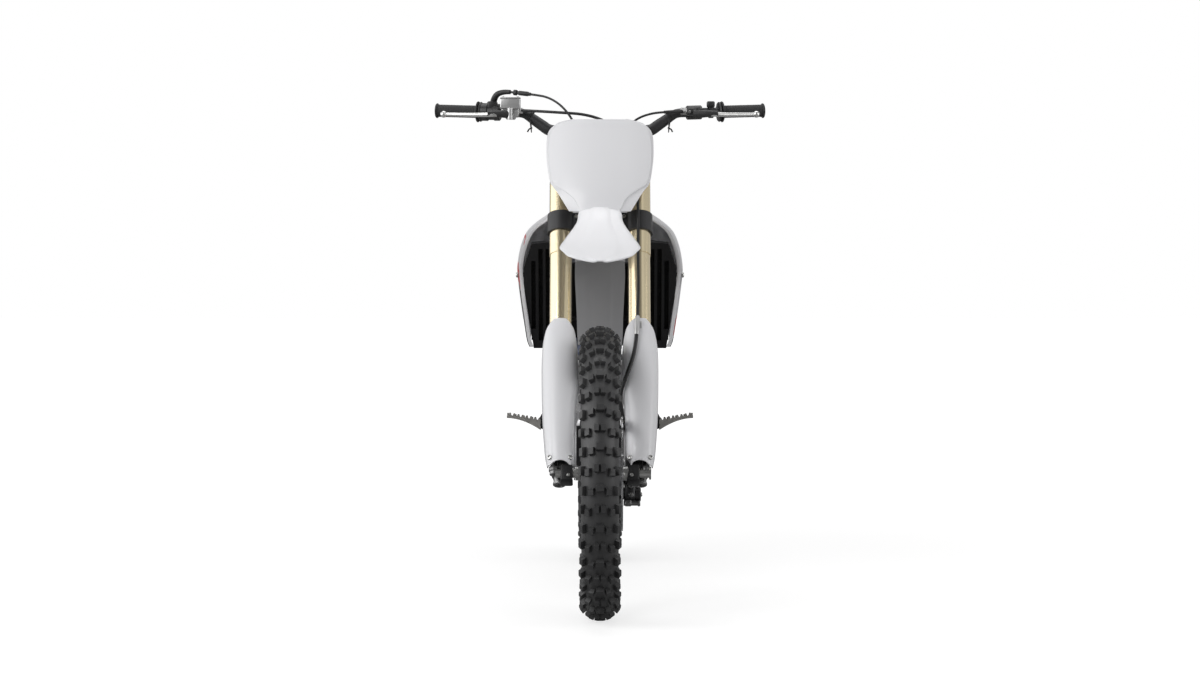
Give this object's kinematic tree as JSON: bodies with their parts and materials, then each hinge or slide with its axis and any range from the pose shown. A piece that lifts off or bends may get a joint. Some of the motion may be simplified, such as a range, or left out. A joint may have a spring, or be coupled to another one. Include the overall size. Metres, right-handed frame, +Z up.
{
  "type": "motocross bike",
  "caption": "Off-road racing motorcycle with knobbly wire-spoked wheels, long upside-down fork, white bodywork and a steered front wheel.",
  "frame": {"origin": "the rider's place: the lowest point of the seat's top, on the bike's centre plane, about 955 mm above the ground under the tyres", "axes": "+X to the rider's left, +Y to the rear along the bike's length, +Z up; the bike faces -Y"},
  "size_m": [0.8322, 2.166, 1.2638],
  "materials": {
    "tyre_rubber": "matte, knobbly",
    "rim_black": "satin black anodised",
    "hub_grey": "anodised grey",
    "spoke_steel": "bright drawn wire",
    "disc_steel": "ground face",
    "frame_alloy": "brushed and anodised",
    "frame_black": "satin black paint",
    "engine_alloy": "cast, painted grey",
    "exhaust_steel": "stainless, heat tinted",
    "silencer_alloy": "brushed",
    "fork_gold": "champagne gold anodised",
    "fork_chrome": "hard chrome, cast lugs",
    "clamp_black": "black anodised",
    "bar_black": "satin black",
    "lever_silver": "polished",
    "master_silver": "cast, clear anodised",
    "control_black": "grained",
    "grip_rubber": "ribbed",
    "cable_black": "smooth sheath",
    "white_plastic": "moulded, glossy",
    "shroud_plastic": "white with red and black stripes",
    "black_plastic": "moulded",
    "tank_plastic": "translucent black",
    "seat_cover": "gripper vinyl",
    "axle_steel": "plated",
    "spring_steel": "powder-coated spring",
    "chain_steel": "oiled",
    "sprocket_alloy": "hard anodised",
    "peg_steel": "cast stainless",
    "radiator_alloy": "finned core"
  },
  "bodies": {
    "chassis": {"main_frame": "frame_alloy", "cradle": "frame_alloy", "subframe": "frame_alloy", "skid_plate": "black_plastic", "engine_cases": "engine_alloy", "cylinder": "engine_alloy", "exhaust_header": "exhaust_steel", "silencer": "silencer_alloy", "radiators": "radiator_alloy", "radiator_louvres": "black_plastic", "shroud_left": "shroud_plastic", "shroud_right": "shroud_plastic", "fuel_tank": "tank_plastic", "seat": "seat_cover", "airbox": "black_plastic", "side_panels": "white_plastic", "rear_fender": "white_plastic", "swingarm": "frame_alloy", "rear_shock": "spring_steel", "shock_linkage": "frame_alloy", "rear_axle": "axle_steel", "rear_caliper": "master_silver", "drive_chain": "chain_steel", "footpegs": "peg_steel", "brake_pedal": "lever_silver", "shift_lever": "lever_silver", "throttle_cable": "cable_black", "clutch_cable": "cable_black"},
    "steering": {"fork_legs": "fork_chrome", "fork_tubes": "fork_gold", "lower_clamp": "clamp_black", "upper_clamp": "clamp_black", "handlebar": "bar_black", "grips": "grip_rubber", "throttle_housing": "control_black", "brake_master": "master_silver", "clutch_perch": "control_black", "hand_levers": "lever_silver", "front_axle": "axle_steel", "front_caliper": "master_silver", "number_plate": "white_plastic", "front_fender": "white_plastic", "fork_guard_left": "white_plastic", "fork_guard_right": "white_plastic", "front_brake_hose": "cable_black"},
    "front_wheel": {"front_tyre": "tyre_rubber", "front_rim": "rim_black", "front_hub": "hub_grey", "front_spokes": "spoke_steel", "front_disc": "disc_steel"},
    "rear_wheel": {"rear_tyre": "tyre_rubber", "rear_rim": "rim_black", "rear_hub": "hub_grey", "rear_spokes": "spoke_steel", "rear_disc": "disc_steel", "rear_sprocket": "sprocket_alloy"}
  },
  "joints": [
    {"name": "steering_turn", "type": "hinge", "parent": "chassis", "child": "steering", "pos_m": [0, -0.59347, 0.045], "axis": [0, 0.454, 0.891], "range_deg": [-42, 42], "deforming": ["throttle_cable", "clutch_cable"]},
    {"name": "front_wheel_spin", "type": "hinge", "parent": "steering", "child": "front_wheel", "pos_m": [0, -0.985, -0.609], "axis": [1, 0, 0], "continuous": true},
    {"name": "rear_wheel_spin", "type": "hinge", "parent": "chassis", "child": "rear_wheel", "pos_m": [0, 0.49497, -0.615], "axis": [1, 0, 0], "continuous": true}
  ]
}
